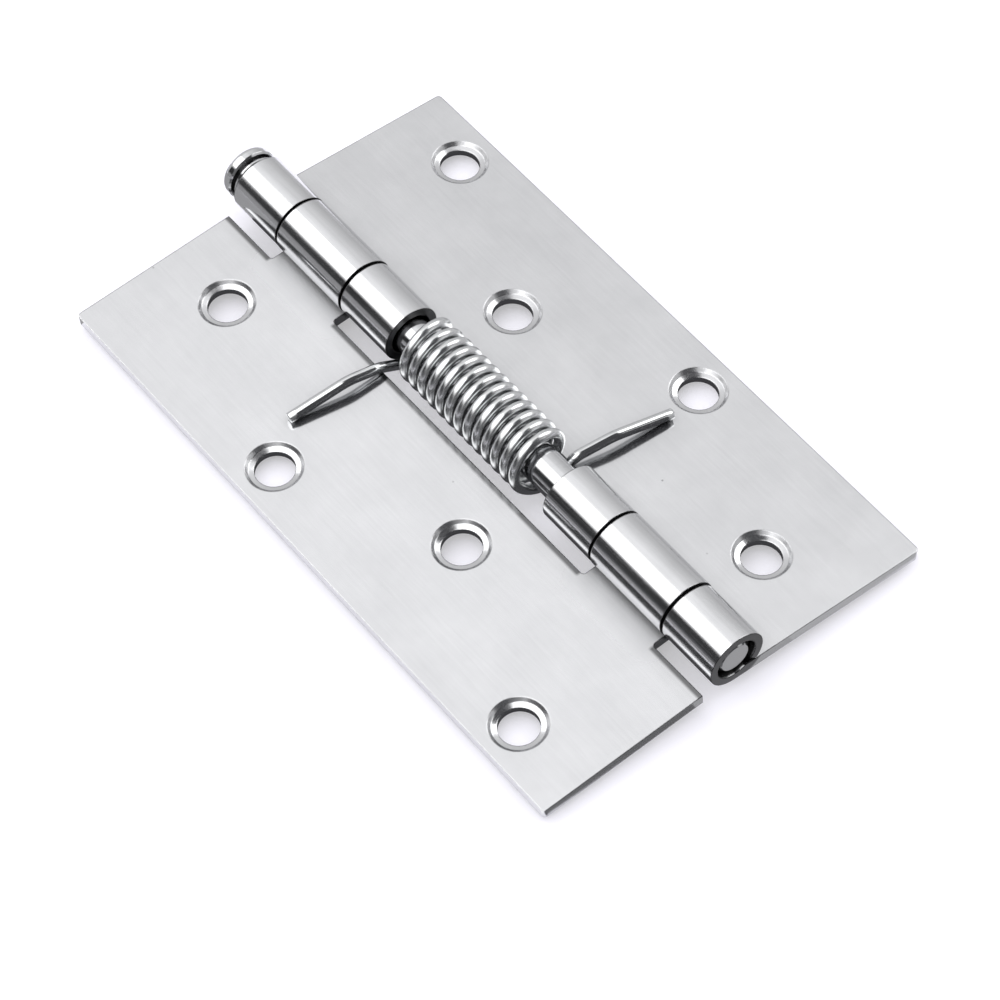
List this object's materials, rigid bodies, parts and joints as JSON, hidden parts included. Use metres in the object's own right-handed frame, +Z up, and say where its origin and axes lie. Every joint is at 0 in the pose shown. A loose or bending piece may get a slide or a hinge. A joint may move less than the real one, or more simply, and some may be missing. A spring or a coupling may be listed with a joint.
{
  "type": "spring loaded door hinge",
  "caption": "Flat butt hinge in stainless sheet with rolled knuckles on a headed pin; a coil spring round the pin pushes both leaves open.",
  "frame": {"origin": "middle of the part's box, on the surface that the leaves' outer edges lie on", "axes": "+Y along the pin towards its head, +X towards the leaf with four knuckles, +Z up from the show faces"},
  "size_m": [0.0616, 0.1046, 0.0108],
  "materials": {
    "leaf_steel": "satin sheet with polished knuckles",
    "pin_steel": "bright turned steel",
    "spring_wire": "bright drawn spring wire"
  },
  "bodies": {
    "fixed_leaf": {"right_leaf": "leaf_steel", "hinge_pin": "pin_steel", "torsion_spring": "spring_wire"},
    "swing_leaf": {"left_leaf": "leaf_steel"}
  },
  "joints": [
    {"name": "leaf_swing", "type": "hinge", "parent": "fixed_leaf", "child": "swing_leaf", "pos_m": [0, 0, 0.00592], "axis": [0, 1, 0], "range_deg": [-4, 186], "stiffness_Nm_per_rad": 0.145, "springref_deg": -4.58, "deforming": ["torsion_spring"]}
  ]
}
